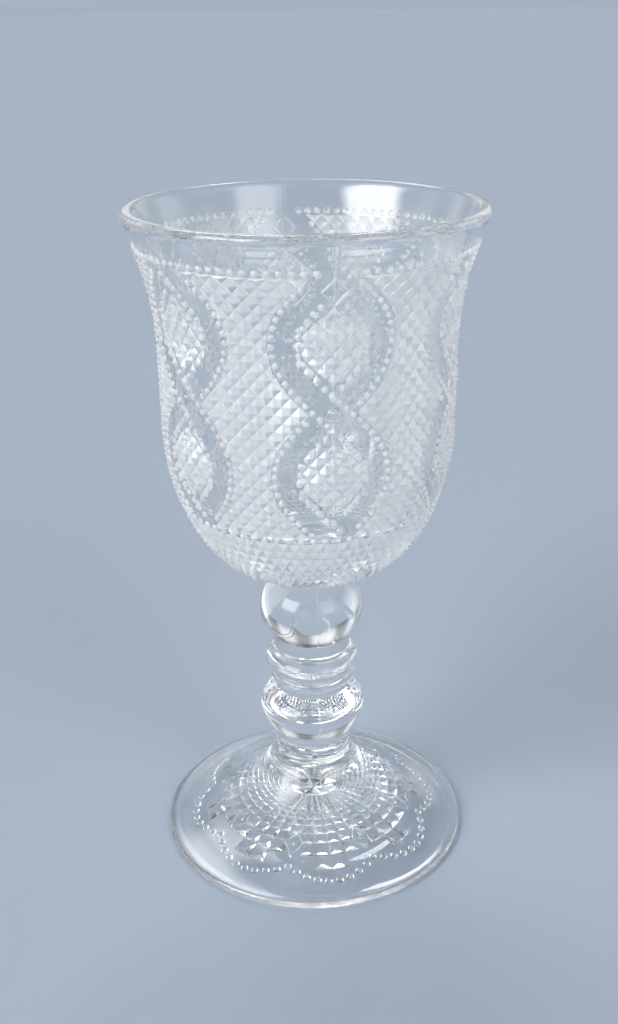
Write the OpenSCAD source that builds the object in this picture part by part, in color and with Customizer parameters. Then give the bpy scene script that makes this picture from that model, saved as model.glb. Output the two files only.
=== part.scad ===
// Water goblet of pressed glass: a flared bowl, a stem of two knops with a ring between them,
// and a domed foot that is hollow underneath.
// +Z is up, the front faces -Y, and the origin is the middle of the ring that the foot rests on.
// The relief stands on the bowl's outside and hangs under the foot, in groups of small solids.

/* [Bowl] */
// Outside radius at the lip
rim_r = 43; // [41.5:0.1:44.5]
// Outside radius of the upright wall
waist_r = 35.7; // [34.7:0.1:36.7]
// Thickness of the wall
wall_t = 3.2; // [2.6:0.1:3.8]
// Height of the flared top of the wall
flare_h = 33.7; // [31:0.1:36]
// Height of the upright wall below the flare
upright_h = 18; // [15:0.5:21]
// Height of the rounded base below the upright wall
bowl_base_h = 40; // [38:0.5:42]
// Radius of the short collar under the base
bowl_collar_r = 11.9; // [11.2:0.1:12.6]
// Height of that collar
bowl_collar_h = 2.4; // [1.6:0.1:3]
// Thickness of the glass under the well
well_t = 5; // [4:0.1:6.5]

/* [Stem] */
// Radius of the stem's narrow places
neck_r = 9.8; // [9.2:0.1:10.3]
// Height of the upper knop, with the necks above and below it
upper_knop_h = 21.9; // [21:0.1:23]
// Largest radius of the upper knop
upper_knop_r = 13.7; // [12.7:0.1:14.7]
// Height of its widest place, as a share of its height
upper_knop_middle_share = 0.516; // [0.506:0.002:0.526]
// Half the height of its ball, before its necks cut it, as a share of its height
upper_knop_half_share = 0.534; // [0.514:0.002:0.54]
// Step outwards where the knop's neck meets the ring's
neck_step = 0.4; // [0.2:0.05:0.6]
// Height of the ring, with its neck and the collar under it
ring_h = 10.5; // [10:0.1:11]
// Largest radius of the ring
ring_r = 12.45; // [11.6:0.05:13.3]
// Height of the ring's edge, as a share of its height
ring_middle_share = 0.562; // [0.55:0.002:0.58]
// Half the thickness of the ring, as a share of its height
ring_half_share = 0.314; // [0.28:0.002:0.34]
// Radius of the narrow collar under the ring
collar_r = 10.9; // [10.5:0.1:11.3]
// Height of the collar, as a share of the ring's height
collar_share = 0.19; // [0.15:0.005:0.2]
// Height of the lower knop, with the neck above it
lower_knop_h = 18; // [17:0.25:19]
// Largest radius of the lower knop
lower_knop_r = 14.15; // [13.2:0.05:15.1]
// Height of its widest place, as a share of its height
lower_knop_middle_share = 0.586; // [0.56:0.002:0.61]
// Height of its shoulder above that, before the neck cuts it, as a share of its height
lower_knop_rise_share = 0.428; // [0.4:0.002:0.45]
// Radius of the lip at the bottom of the lower knop
knop_lip_r = 10.3; // [10:0.1:10.8]

/* [Foot] */
// Height of the foot, from the table to the lower knop
foot_h = 27.2; // [26:0.1:28.4]
// Height of the short neck at the top of the foot
foot_neck_h = 2.6; // [2:0.1:3.2]
// Radius of the foot where it starts to spread below that neck
foot_neck_r = 10.35; // [10.1:0.05:11]
// Outside radius of the foot
foot_r = 41.45; // [39.5:0.05:43.5]
// Thickness of the foot's edge
edge_t = 2.2; // [1.8:0.1:2.8]
// Depth of the hollow under the foot
dish_h = 8; // [6.5:0.1:9]
// Width of the flat ring that the foot rests on
rest_w = 2.2; // [1.8:0.1:3]

/* [Relief on the bowl] */
// Length of the plain band from the lip down to the first bead row
rim_band = 6.6; // [5.5:0.1:8]
// Beads in the row under the lip
rim_bead_count = 96; // [84:6:102]
// Radius of a bead in that row
rim_bead_r = 0.95; // [0.75:0.05:1.1]
// Radius of a bead along a ribbon
bead_r = 0.85; // [0.6:0.05:0.9]
// Height of a bead
bead_h = 0.75; // [0.5:0.05:0.85]
// Distance from bead to bead along a ribbon
bead_pitch = 2.2; // [2:0.1:3]
// Upright columns of crossing ribbons round the bowl
column_count = 6; // [4:2:6]
// Width of the plain glass in a ribbon, between its bead rows
ribbon_w = 4; // [3:0.1:5]
// Distance that a ribbon's middle swings out from its column's line
ribbon_swing = 10.5; // [9.5:0.1:11]
// Openings between two crossing ribbons, one above the other
eye_count = 2; // [1:1:3]
// Diamond points in one turn of the bowl
point_count = 60; // [48:6:66]
// Height of a diamond point
point_h = 1; // [0.7:0.05:1.15]
// Height of the bead row at the top of the base band, as a share of the rounded base's height
base_band_share = 0.5; // [0.45:0.01:0.55]
// Fine points in one turn of the base band
base_point_count = 72; // [60:6:84]
// Height of a fine point
base_point_h = 0.75; // [0.5:0.05:0.9]
// Cells along each side of a lattice block
lattice_cells = 3; // [2:1:4]
// Width of a lattice bar
bar_w = 0.6; // [0.4:0.05:0.8]
// Height of a lattice bar
bar_h = 0.55; // [0.4:0.05:0.7]
// Radius of the button where two ribbons cross
button_r = 1.7; // [1.3:0.1:2]
// Height of that button
button_h = 1; // [0.6:0.1:1.2]
// Half width of the open lozenge under the lip, where the mould closes
seam_lozenge_half_w = 2.6; // [2.2:0.1:2.8]
// Half length of that lozenge, down the wall
seam_lozenge_half_h = 3.1; // [2.6:0.1:3.2]

/* [Relief under the foot] */
// Diamond points in one turn of the foot
foot_point_count = 40; // [32:8:48]
// Rings of points between the neck and the scallops
foot_ring_count = 5; // [3:1:5]
// Radius of the innermost ring of points
foot_points_r = 13.6; // [12.5:0.1:15]
// Height of a point under the foot
foot_point_h = 0.9; // [0.6:0.05:1.1]
// Scallops in the bead border
scallop_count = 8; // [4:4:8]
// Mean radius of the bead border
border_r = 31.6; // [31:0.1:32.5]
// Depth of a scallop, in and out of the mean radius
scallop_depth = 1.9; // [0.8:0.1:2.2]
// Radius of a bead in the border
border_bead_r = 1; // [0.7:0.05:1.2]
// Distance from bead to bead round the border
border_pitch = 2.65; // [2.4:0.05:3.2]
// Half width of the plain lozenge between two scallops
lozenge_half_w = 2.4; // [1.8:0.1:3]
// Half length of that lozenge, towards the edge
lozenge_half_h = 4; // [3:0.1:4.6]

/* [Hidden] */
$fn = 96;
// Shapes of the curves: plain numbers, no lengths
flare_curve = 2.2;
well_curve = 2.3;
foot_curve = 0.7;
curve_steps = 24;
// Heights of the joints and of the bowl's turns, each on top of the last
ring_z = foot_h + lower_knop_h;
upper_knop_z = ring_z + ring_h;
bowl_z = upper_knop_z + upper_knop_h;
base_z = bowl_z + bowl_collar_h;
belly_z = base_z + bowl_base_h;
flare_z = belly_z + upright_h;
total_h = flare_z + flare_h;
base_band_z = base_z + bowl_base_h*base_band_share;
// Clearance between the wall and the flat underside of a relief solid
seat_gap = 0.04;
// Clearance between neighbouring relief solids
relief_gap = 0.12;
// The front column stands where the mould closes, turned from the front
front_az = -90 + 8.7;
// Sizes of parts of the pattern, as shares of what they belong to
eye_fill_share = 0.86;
smallest_point_share = 0.45;
star_share = 0.42;
end_diamond_share = 0.55;
base_end_share = 0.17;
// Colours of the smooth glass and of the relief
clear_glass = [0.80, 0.88, 0.90];
bright_glass = [0.93, 0.96, 0.97];

// Outline helpers

// Radius of a smooth swelling, from neck to peak, at a share t (-1 to 1) of its half length
function swell(neck, peak, t) = neck + (peak - neck)*(1 + cos(180*t))/2;
// Running length along a line of points
function run_lengths(p) =
    [for (i = 0, s = 0; i < len(p); s = s + (i + 1 < len(p) ? norm(p[i + 1] - p[i]) : 0), i = i + 1) s];
function reversed(p) = [for (i = [len(p) - 1:-1:0]) p[i]];

// Bowl outline: the middle of the wall, and points to each side of it

lip_z = total_h - wall_t/2;
function flare_mid(t) = [waist_r - wall_t/2 + (rim_r - waist_r)*pow(t, flare_curve),
    flare_z + (lip_z - flare_z)*t];
function flare_side(t) =
    let (slope = [(rim_r - waist_r)*flare_curve*pow(t, flare_curve - 1), lip_z - flare_z])
        [slope.y, -slope.x]/norm(slope);
lip_lean = atan2(-flare_side(1).y, flare_side(1).x);
outer_flare = [for (i = [curve_steps:-1:0]) let (t = i/curve_steps) flare_mid(t) + flare_side(t)*wall_t/2];
inner_flare = [for (i = [0:1:curve_steps]) let (t = i/curve_steps) flare_mid(t) - flare_side(t)*wall_t/2];
outer_base = [for (i = [0:1:curve_steps]) let (a = 90*i/curve_steps)
    [bowl_collar_r + (waist_r - bowl_collar_r)*cos(a), belly_z - (belly_z - base_z)*sin(a)]];
well_z = base_z + well_t;
inner_well = [for (i = [curve_steps:-1:0]) let (a = 90*i/curve_steps)
    [(waist_r - wall_t)*pow(cos(a), 2/well_curve), belly_z - (belly_z - well_z)*pow(sin(a), 2/well_curve)]];
lip_arc = [for (i = [1:1:curve_steps - 1]) let (a = 180 - lip_lean - 180*i/curve_steps)
    flare_mid(1) + [cos(a), sin(a)]*wall_t/2];
bowl_outline = concat([[0, bowl_z], [0, well_z]], [for (p = inner_well) if (p.x > seat_gap) p],
    inner_flare, lip_arc, outer_flare, outer_base, [[bowl_collar_r, bowl_z + neck_step],
    [bowl_collar_r - neck_step, bowl_z]]);

// Places on the bowl's outside: an azimuth, and a length s down the wall from the lip

skin = concat(outer_flare, outer_base);
skin_s = run_lengths(skin);
skin_r_at = [for (i = [0:1:len(skin) - 1]) [skin_s[i], skin[i].x]];
skin_z_at = [for (i = [0:1:len(skin) - 1]) [skin_s[i], skin[i].y]];
skin_s_at_z = reversed([for (i = [0:1:len(skin) - 1]) [skin[i].y, skin_s[i]]]);
function skin_at(s) = [lookup(s, skin_r_at), lookup(s, skin_z_at)];
function skin_out(s) = let (d = skin_at(s + bead_r) - skin_at(s - bead_r)) [-d.y, d.x]/norm(d);
function on_skin(az, s, lift) = let (p = skin_at(s) + skin_out(s)*lift) [p.x*cos(az), p.x*sin(az), p.y];

// Places under the foot: an azimuth and a radius, with lifts that point down

dish_r = foot_r - edge_t/2 - rest_w;
function dish_z(r) = dish_h*(1 - pow(r/dish_r, 2));
function dish_out(r) = let (d = [2*dish_h*r/pow(dish_r, 2), 1]) -d/norm(d);
function on_dish(az, r, lift) = let (p = [r, dish_z(r)] + dish_out(r)*lift) [p.x*cos(az), p.x*sin(az), p.y];

// Relief solids

// One polyhedron of many separate pyramids: each has four corners in turn and a tip
module pyramids(cells) {
    faces = [[0, 4, 1], [1, 4, 2], [2, 4, 3], [3, 4, 0], [0, 1, 3], [1, 2, 3]];
    polyhedron([for (c = cells) each c],
        [for (k = [0:1:len(cells) - 1]) each [for (f = faces) [for (v = f) 5*k + v]]]);
}

// One polyhedron of many separate bars: each has two feet and a ridge at either end
module bars(cells) {
    faces = [[0, 1, 2], [3, 5, 4], [0, 3, 4], [0, 4, 1], [1, 4, 5], [1, 5, 2], [2, 5, 3], [2, 3, 0]];
    polyhedron([for (c = cells) each c],
        [for (k = [0:1:len(cells) - 1]) each [for (f = faces) [for (v = f) 6*k + v]]]);
}

// Flat-bottomed dome of base radius r and height h
module bead(r, h) {
    ball_r = (r*r + h*h)/(2*h);
    rotate_extrude($fn = 24) intersection() {
        translate([0, h - ball_r]) circle(r = ball_r);
        square([r, h]);
    }
}

// Puts its children on the bowl's outside, standing off the wall
module stand_on_skin(az, s) {
    p = skin_at(s) + skin_out(s)*seat_gap;
    rotate([0, 0, az]) translate([p.x, 0, p.y])
        rotate([0, 90 - atan2(skin_out(s).y, skin_out(s).x), 0]) children();
}

// Diamond with corners to both sides, above and below, tip outwards; up or down is 0 for a half one
function skin_diamond(az, s, half_w, up, down, h) = let (da = half_w/skin_at(s).x*180/PI)
    [on_skin(az - da, s, seat_gap), on_skin(az, s - up, seat_gap), on_skin(az + da, s, seat_gap),
        on_skin(az, s + down, seat_gap), on_skin(az, s, h)];
function skin_square(az, s, half_w, half_h, h) = let (da = half_w/skin_at(s).x*180/PI)
    [on_skin(az - da, s - half_h, seat_gap), on_skin(az + da, s - half_h, seat_gap),
        on_skin(az + da, s + half_h, seat_gap), on_skin(az - da, s + half_h, seat_gap), on_skin(az, s, h)];
function dish_square(az, r, half_w, half_h, h) = let (da_in = half_w/r*180/PI)
    [on_dish(az + da_in, r - half_h, seat_gap), on_dish(az - da_in, r - half_h, seat_gap),
        on_dish(az - da_in, r + half_h, seat_gap), on_dish(az + da_in, r + half_h, seat_gap),
        on_dish(az, r, h)];

// Layout of the bowl's pattern, in x across a column and s down the wall

row_s = rim_band;
ribbon_from = row_s + rim_bead_r + relief_gap;
ribbon_to = lookup(base_band_z, skin_s_at_z) - bead_r - relief_gap;
eye_h = (ribbon_to - ribbon_from)/eye_count;
function column_az(c) = front_az + 360*c/column_count;
function turn(x) = x/waist_r*180/PI;
function swing_x(side, s) = side*ribbon_swing*sin(180*(s - ribbon_from)/eye_h);
function heading(side, s) = atan(side*ribbon_swing*PI/eye_h*cos(180*(s - ribbon_from)/eye_h));
// Length of a row set off from the ribbon's middle, for each unit along the middle, where it bends
function row_stretch(side, s, off) =
    1 + off*side*ribbon_swing*pow(PI/eye_h, 2)*sin(180*(s - ribbon_from)/eye_h)*pow(cos(heading(side, s)), 3);
function is_over(side, s) = (side > 0) == (round((s - ribbon_from)/eye_h) % 2 == 0);
row_off = ribbon_w/2 + bead_r;
function off_ribbon(x, side, s) = abs(x - swing_x(side, s))*cos(heading(side, s));
function row_beads(side, off) =
    [for (s = ribbon_from; s < ribbon_to; s = s + bead_pitch*cos(heading(side, s))/row_stretch(side, s, off))
        let (a = heading(side, s), x = swing_x(side, s) + off*cos(a), bead_s = s - off*sin(a),
            clear = off_ribbon(x, -side, bead_s) > row_off + bead_pitch)
            if (bead_s > ribbon_from + bead_r && bead_s < ribbon_to - bead_r
                && (is_over(side, bead_s) || clear)) [x, bead_s]];
function strand_beads(side) = concat(row_beads(side, row_off), row_beads(side, -row_off));
// The mould closes in the front column and the one behind it, with an open lozenge at the top of each
lozenge_s = ribbon_from + seam_lozenge_half_h;
function closes(c) = c % (column_count/2) == 0;
function in_lozenge(c, x, s) = let (w = seam_lozenge_half_w, h = seam_lozenge_half_h)
    closes(c) && (abs(x)*h + abs(s - lozenge_s)*w - w*h)/norm([w, h]) < bead_r + bar_w/2 + relief_gap;
function column_half(s) = abs(swing_x(1, s)) + (row_off + bead_r)/cos(heading(1, s));

// Ground of diamond points, smaller beside a column, left out where it stands, halved at both ends
ground_half_w = PI*waist_r/point_count;
ground_half_h = (ribbon_to - ribbon_from)/(2*floor((ribbon_to - ribbon_from)/(2*ground_half_w)));
ground_rows = round((ribbon_to - ribbon_from)/ground_half_h);
function column_x(az) = let (step = 360/column_count, d = az - front_az)
    (d - step*round(d/step))*waist_r*PI/180;
function ground_fit(az, s) = min(1, (abs(column_x(az)) - column_half(s))/ground_half_w);
ground_places = [for (j = [0:1:ground_rows]) for (i = [0:1:point_count - 1])
    let (az = front_az + (i + (j % 2)/2)*360/point_count, s = ribbon_from + j*ground_half_h,
        fit = ground_fit(az, s), half_h = ground_half_h*fit - relief_gap/2)
        if (fit > smallest_point_share) [az, s, fit, j > 0 ? half_h : 0, j < ground_rows ? half_h : 0]];

// Lattice blocks in the eyes
lattice_half_w = (ribbon_swing - row_off - bead_r)*eye_fill_share/lattice_cells;
lattice_half_h = lattice_half_w*eye_h/(2*ribbon_swing);
function lattice_node(i, j) = [(i - j)*lattice_half_w, (i + j - lattice_cells)*lattice_half_h];
function lattice_bar(az, s, a, b) = let (d = (b - a)/norm(b - a), side = [d.y, -d.x]*bar_w/2,
        from = a + d*bar_w/2, to = b - d*bar_w/2)
    [for (e = [from, to]) each [on_skin(az + turn(e.x + side.x), s + e.y + side.y, seat_gap),
        on_skin(az + turn(e.x), s + e.y, bar_h),
        on_skin(az + turn(e.x - side.x), s + e.y - side.y, seat_gap)]];
eyes = [for (c = [0:1:column_count - 1]) for (k = [0:1:eye_count - 1])
    [column_az(c), ribbon_from + (k + 0.5)*eye_h, c]];

// Rows of fine points from the base band's bead row down to the stem
base_row_s = lookup(base_band_z, skin_s_at_z);
base_stop_r = bowl_collar_r + (waist_r - bowl_collar_r)*base_end_share;
function base_half(s) = PI*skin_at(s).x/base_point_count;
base_rows = [for (s = base_row_s + bead_r + relief_gap + base_half(base_row_s), j = 0;
    skin_at(s).x > base_stop_r; s = s + 2*base_half(s), j = j + 1) [s, j]];

// Rings of points under the foot, each a step wider than the last, and a pair in each scallop's peak
foot_step = 1 + 2*PI/foot_point_count;
foot_places = [for (k = [0:1:foot_ring_count]) for (i = [0:1:foot_point_count - 1])
    let (per = foot_point_count/scallop_count, gap = k >= foot_ring_count - 2 && i % per == 0,
        peak = k < foot_ring_count || abs(i % per - per/2) < 1)
        if (peak && !gap) [front_az + (i + 0.5*per)*360/foot_point_count, foot_points_r*pow(foot_step, k)]];
border_bead_count = floor(2*PI*border_r/(border_pitch*scallop_count))*scallop_count;
lozenge_r = foot_points_r*pow(foot_step, foot_ring_count - 1.5);
function dish_bar(az, r, a, b) = let (d = (b - a)/norm(b - a), side = [-d.y, d.x]*bar_w/2,
        from = a + d*bar_w/2, to = b - d*bar_w/2)
    [for (e = [from, to]) each [on_dish(az + (e.x + side.x)/r*180/PI, r + e.y + side.y, seat_gap),
        on_dish(az + e.x/r*180/PI, r + e.y, bar_h),
        on_dish(az + (e.x - side.x)/r*180/PI, r + e.y - side.y, seat_gap)]];
function border_at(az) = border_r + scallop_depth*(2*abs(cos(scallop_count*(az - front_az)/2)) - 1);

// The five sections of glass

module bowl() {
    color(clear_glass) rotate_extrude() polygon(bowl_outline);
}

// A ball squashed to half height half_h, cut where a neck of radius r meets it
function ball_r(peak, half_h, dz) = peak*sqrt(1 - pow(dz/half_h, 2));
function ball_cut(peak, half_h, r) = half_h*sqrt(1 - pow(r/peak, 2));
function ball_side(peak, half_h, z, from, to) =
    [for (i = [0:1:curve_steps]) let (dz = from + (to - from)*i/curve_steps)
        [ball_r(peak, half_h, dz), z + dz]];

module upper_knop() {
    low_r = neck_r + neck_step;
    half = upper_knop_h*upper_knop_half_share;
    middle_z = upper_knop_z + upper_knop_h*upper_knop_middle_share;
    low = ball_cut(upper_knop_r, half, low_r);
    high = ball_cut(upper_knop_r, half, neck_r);
    color(clear_glass) rotate_extrude() polygon(concat([[0, upper_knop_z], [low_r, upper_knop_z]],
        ball_side(upper_knop_r, half, middle_z, -low, high), [[neck_r, bowl_z], [0, bowl_z]]));
}

module ring() {
    collar_half = ring_h*collar_share/2;
    middle_z = ring_z + ring_h*ring_middle_share;
    half = ring_h*ring_half_share;
    bulge = [for (i = [0:1:curve_steps]) let (a = -90 + 180*i/curve_steps)
        [neck_r + (ring_r - neck_r)*cos(a), middle_z + half*sin(a)]];
    edge = [for (i = [0:1:curve_steps]) let (a = -90 + 180*i/curve_steps)
        [neck_r + (collar_r - neck_r)*cos(a), ring_z + collar_half + collar_half*sin(a)]];
    color(clear_glass) rotate_extrude() polygon(concat([[0, ring_z]], edge, bulge,
        [[neck_r, upper_knop_z], [0, upper_knop_z]]));
}

module lower_knop() {
    rise = lower_knop_h*lower_knop_rise_share;
    below = lower_knop_h*lower_knop_middle_share;
    taper = [for (i = [-curve_steps:1:-1])
        [swell(knop_lip_r, lower_knop_r, i/curve_steps), foot_h + below + below*i/curve_steps]];
    color(clear_glass) rotate_extrude() polygon(concat([[0, foot_h]], taper,
        ball_side(lower_knop_r, rise, foot_h + below, 0, ball_cut(lower_knop_r, rise, neck_r)),
        [[neck_r, ring_z], [0, ring_z]]));
}

module foot() {
    edge_r = foot_r - edge_t/2;
    foot_neck_z = foot_h - foot_neck_h;
    spread = [for (i = [0:1:curve_steps]) let (a = 90*i/curve_steps)
        [foot_neck_r + (edge_r - foot_neck_r)*pow(cos(a), 2/foot_curve),
            edge_t + (foot_neck_z - edge_t)*pow(sin(a), 2/foot_curve)]];
    rim = [for (i = [0:1:curve_steps - 1]) let (a = -90 + 180*i/curve_steps)
        [edge_r + edge_t/2*cos(a), edge_t/2 + edge_t/2*sin(a)]];
    dish = [for (i = [0:1:curve_steps]) let (r = dish_r*i/curve_steps) [r, dish_z(r)]];
    color(clear_glass) rotate_extrude() polygon(concat(dish, rim, spread,
        [[neck_r, foot_neck_z], [neck_r, foot_h], [0, foot_h]]));
}

// The relief

// The row under the lip leaves out the two beads beside each place where the mould closes
module rim_beads() {
    half_turn = rim_bead_count/2;
    color(bright_glass) for (i = [0:1:rim_bead_count - 1]) if (i % half_turn > 0 && (i + 1) % half_turn > 0)
        stand_on_skin(front_az + (i + 0.5)*360/rim_bead_count, row_s) bead(rim_bead_r, bead_h);
}

module ground_points() {
    color(bright_glass) pyramids([for (p = ground_places) skin_diamond(p[0], p[1],
        ground_half_w*p[2]*skin_at(p[1]).x/waist_r - relief_gap/2, p[3], p[4], point_h*p[2])]);
}

module strand(side) {
    for (c = [0:1:column_count - 1]) for (b = strand_beads(side)) if (!in_lozenge(c, b.x, b.y))
        stand_on_skin(column_az(c) + turn(b.x), b.y) bead(bead_r, bead_h);
}

module ribbon_beads_left() {
    color(bright_glass) strand(-1);
}

module ribbon_beads_right() {
    color(bright_glass) strand(1);
}

module crossing_buttons() {
    color(bright_glass) for (c = [0:1:column_count - 1]) for (k = [1:1:eye_count - 1])
        stand_on_skin(column_az(c), ribbon_from + k*eye_h) bead(button_r, button_h);
}

module lattice_bars() {
    n = lattice_cells;
    edges = concat([for (i = [0:1:n - 1]) for (j = [0:1:n]) [lattice_node(i, j), lattice_node(i + 1, j)]],
        [for (i = [0:1:n]) for (j = [0:1:n - 1]) [lattice_node(i, j), lattice_node(i, j + 1)]]);
    tips = [[0, -seam_lozenge_half_h], [seam_lozenge_half_w, 0], [0, seam_lozenge_half_h],
        [-seam_lozenge_half_w, 0]];
    color(bright_glass) bars(concat([for (e = eyes) for (b = edges) lattice_bar(e.x, e.y, b[0], b[1])],
        [for (c = [0:1:column_count - 1]) if (closes(c)) for (k = [0:1:3])
            lattice_bar(column_az(c), lozenge_s, tips[k], tips[(k + 1) % 4])]));
}

module lattice_points() {
    n = lattice_cells;
    stars = [for (i = [0:1:n - 1]) for (j = [0:1:n - 1])
        (lattice_node(i, j) + lattice_node(i + 1, j + 1))/2];
    ends = [for (up = [-1, 1]) [0, up*(n + 1)*lattice_half_h]];
    color(bright_glass) pyramids(concat(
        [for (e = eyes) for (p = stars) skin_diamond(e.x + turn(p.x), e.y + p.y,
            lattice_half_w*star_share, lattice_half_h*star_share, lattice_half_h*star_share, bar_h)],
        [for (e = eyes) for (p = ends) if (!in_lozenge(e[2], p.x, e.y + p.y))
            skin_diamond(e.x, e.y + p.y, lattice_half_w*end_diamond_share,
                lattice_half_h*end_diamond_share, lattice_half_h*end_diamond_share, point_h)]));
}

module base_bead_row() {
    color(bright_glass) for (i = [0:1:base_point_count - 1])
        stand_on_skin(front_az + (i + 0.5)*360/base_point_count, base_row_s) bead(bead_r, bead_h);
}

module base_points() {
    color(bright_glass) pyramids([for (b = base_rows) for (i = [0:1:base_point_count - 1])
        skin_square(front_az + (i + (b[1] % 2)/2)*360/base_point_count, b[0],
            base_half(b[0]) - relief_gap/2, base_half(b[0]) - relief_gap/2,
            base_point_h*base_half(b[0])/base_half(base_row_s))]);
}

module foot_points() {
    half = PI/foot_point_count;
    color(bright_glass) pyramids([for (p = foot_places)
        dish_square(p.x, p.y, half*p.y - relief_gap, half*p.y - relief_gap, foot_point_h)]);
}

module foot_lozenges() {
    corners = [[0, -lozenge_half_h], [lozenge_half_w, 0], [0, lozenge_half_h], [-lozenge_half_w, 0]];
    color(bright_glass) bars([for (i = [0:1:scallop_count - 1]) for (k = [0:1:3])
        dish_bar(front_az + (i + 0.5)*360/scallop_count, lozenge_r, corners[k], corners[(k + 1) % 4])]);
}

module foot_bead_border() {
    color(bright_glass) for (i = [0:1:border_bead_count - 1]) {
        az = front_az + (i + 0.5)*360/border_bead_count;
        p = [border_at(az), dish_z(border_at(az))] + dish_out(border_at(az))*seat_gap;
        rotate([0, 0, az]) translate([p.x, 0, p.y])
            rotate([0, 90 - atan2(dish_out(border_at(az)).y, dish_out(border_at(az)).x), 0])
                bead(border_bead_r, bead_h);
    }
}

bowl();
rim_beads();
ground_points();
ribbon_beads_left();
ribbon_beads_right();
crossing_buttons();
lattice_bars();
lattice_points();
base_bead_row();
base_points();
upper_knop();
ring();
lower_knop();
foot();
foot_points();
foot_lozenges();
foot_bead_border();
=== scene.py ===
import math
import bpy
import bmesh
import numpy as np
from mathutils import Matrix, Vector


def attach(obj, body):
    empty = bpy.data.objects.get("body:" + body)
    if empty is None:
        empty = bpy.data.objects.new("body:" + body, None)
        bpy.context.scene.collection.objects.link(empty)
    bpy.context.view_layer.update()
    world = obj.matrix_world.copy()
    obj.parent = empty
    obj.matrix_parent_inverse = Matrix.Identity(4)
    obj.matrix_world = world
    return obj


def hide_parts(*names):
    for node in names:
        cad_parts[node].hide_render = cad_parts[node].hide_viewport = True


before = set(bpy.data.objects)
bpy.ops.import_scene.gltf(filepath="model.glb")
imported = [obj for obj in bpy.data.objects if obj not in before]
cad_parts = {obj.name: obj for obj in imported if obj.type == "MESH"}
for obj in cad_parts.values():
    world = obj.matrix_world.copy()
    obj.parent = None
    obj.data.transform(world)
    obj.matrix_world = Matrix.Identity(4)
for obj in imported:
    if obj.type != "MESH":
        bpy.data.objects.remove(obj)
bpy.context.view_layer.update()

mm = 0.001
tau = 2 * math.pi
print("frame loaded with", len(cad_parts), "nodes")

scene = bpy.context.scene
scene.view_settings.view_transform = "Standard"
scene.cycles.max_bounces = 24
scene.cycles.transmission_bounces = 24
scene.cycles.glossy_bounces = 12
scene.cycles.transparent_max_bounces = 48
scene.cycles.blur_glossy = 0.0      # the floor under the foot gets its light through the glass, unblurred

# --- small helpers for nodes ---


class Wire:  # a node's output that sums like a number
    def __init__(self, graph, socket):
        self.graph = graph
        self.socket = socket

    def __add__(self, other):
        return self.graph.maths("ADD", self, other)

    def __radd__(self, other):
        return self.graph.maths("ADD", other, self)

    def __sub__(self, other):
        return self.graph.maths("SUBTRACT", self, other)

    def __rsub__(self, other):
        return self.graph.maths("SUBTRACT", other, self)

    def __mul__(self, other):
        return self.graph.maths("MULTIPLY", self, other)

    def __rmul__(self, other):
        return self.graph.maths("MULTIPLY", other, self)

    def __truediv__(self, other):
        return self.graph.maths("DIVIDE", self, other)

    def __rtruediv__(self, other):
        return self.graph.maths("DIVIDE", other, self)


class Graph:  # a node tree that is written in expressions
    def __init__(self, tree):
        self.tree = tree

    def node(self, kind, settings=None, inputs=None, out=0):
        made = self.tree.nodes.new(kind)
        made.location.x = 180 * len(self.tree.nodes)
        for name, value in (settings or {}).items():
            if name == "stops":
                while len(made.color_ramp.elements) < len(value):
                    made.color_ramp.elements.new(0.5)
                for stop, (place, colour) in zip(made.color_ramp.elements, value):
                    stop.position, stop.color = place, colour
            else:
                setattr(made, name, value)
        for name, value in (inputs or {}).items():
            if isinstance(value, Wire):
                self.tree.links.new(value.socket, made.inputs[name])
            else:
                made.inputs[name].default_value = value
        return Wire(self, made.outputs[out]) if out is not None else made

    def maths(self, how, *values):
        return self.node("ShaderNodeMath", {"operation": how}, dict(enumerate(values)))

    def vectors(self, how, *values):
        return self.node("ShaderNodeVectorMath", {"operation": how}, dict(enumerate(values)))

    def split(self, vector):
        made = self.node("ShaderNodeSeparateXYZ", inputs={0: vector}, out=None)
        return [Wire(self, output) for output in made.outputs]

    def join(self, x, y, z):
        return self.node("ShaderNodeCombineXYZ", inputs={0: x, 1: y, 2: z})


def newTree(name, inputs):  # inputs are (name, kind of socket, value)
    tree = bpy.data.node_groups.new(name, "GeometryNodeTree")
    tree.interface.new_socket("Geometry", in_out="INPUT", socket_type="NodeSocketGeometry")
    for label, kind, value in inputs:
        socket = tree.interface.new_socket(label, in_out="INPUT", socket_type=kind)
        if value is not None:
            socket.default_value = value
    tree.interface.new_socket("Geometry", in_out="OUTPUT", socket_type="NodeSocketGeometry")
    graph = Graph(tree)
    source = graph.node("NodeGroupInput", out=None)
    return graph, {o.name: Wire(graph, o) for o in source.outputs if o.name}


def addObject(name, data):
    thing = bpy.data.objects.new(name, data)
    scene.collection.objects.link(thing)
    return thing


def evaluated(thing):  # the object's mesh with its modifiers, as plain data
    bpy.context.view_layer.update()
    depsgraph = bpy.context.evaluated_depsgraph_get()
    return bpy.data.meshes.new_from_object(
        thing.evaluated_get(depsgraph), preserve_all_data_layers=True, depsgraph=depsgraph)


def runTree(host, graph, values):
    modifier = host.modifiers.new(graph.tree.name, "NODES")
    modifier.node_group = graph.tree
    for item in graph.tree.interface.items_tree:
        if item.in_out == "INPUT" and item.name in values:
            modifier[item.identifier] = values[item.name]
    mesh = evaluated(host)
    host.modifiers.remove(modifier)
    bpy.data.objects.remove(host)
    return mesh


def outline(name, places):  # an open line through (radius, height) places in mm
    curve = bpy.data.curves.new(name, "CURVE")
    curve.dimensions = "3D"
    spline = curve.splines.new("POLY")
    spline.points.add(len(places) - 1)
    for point, (r, z) in zip(spline.points, places):
        point.co = (r * mm, 0, z * mm, 1)
    return addObject(name, curve)


# --- glass: one material for each finish ---

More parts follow.
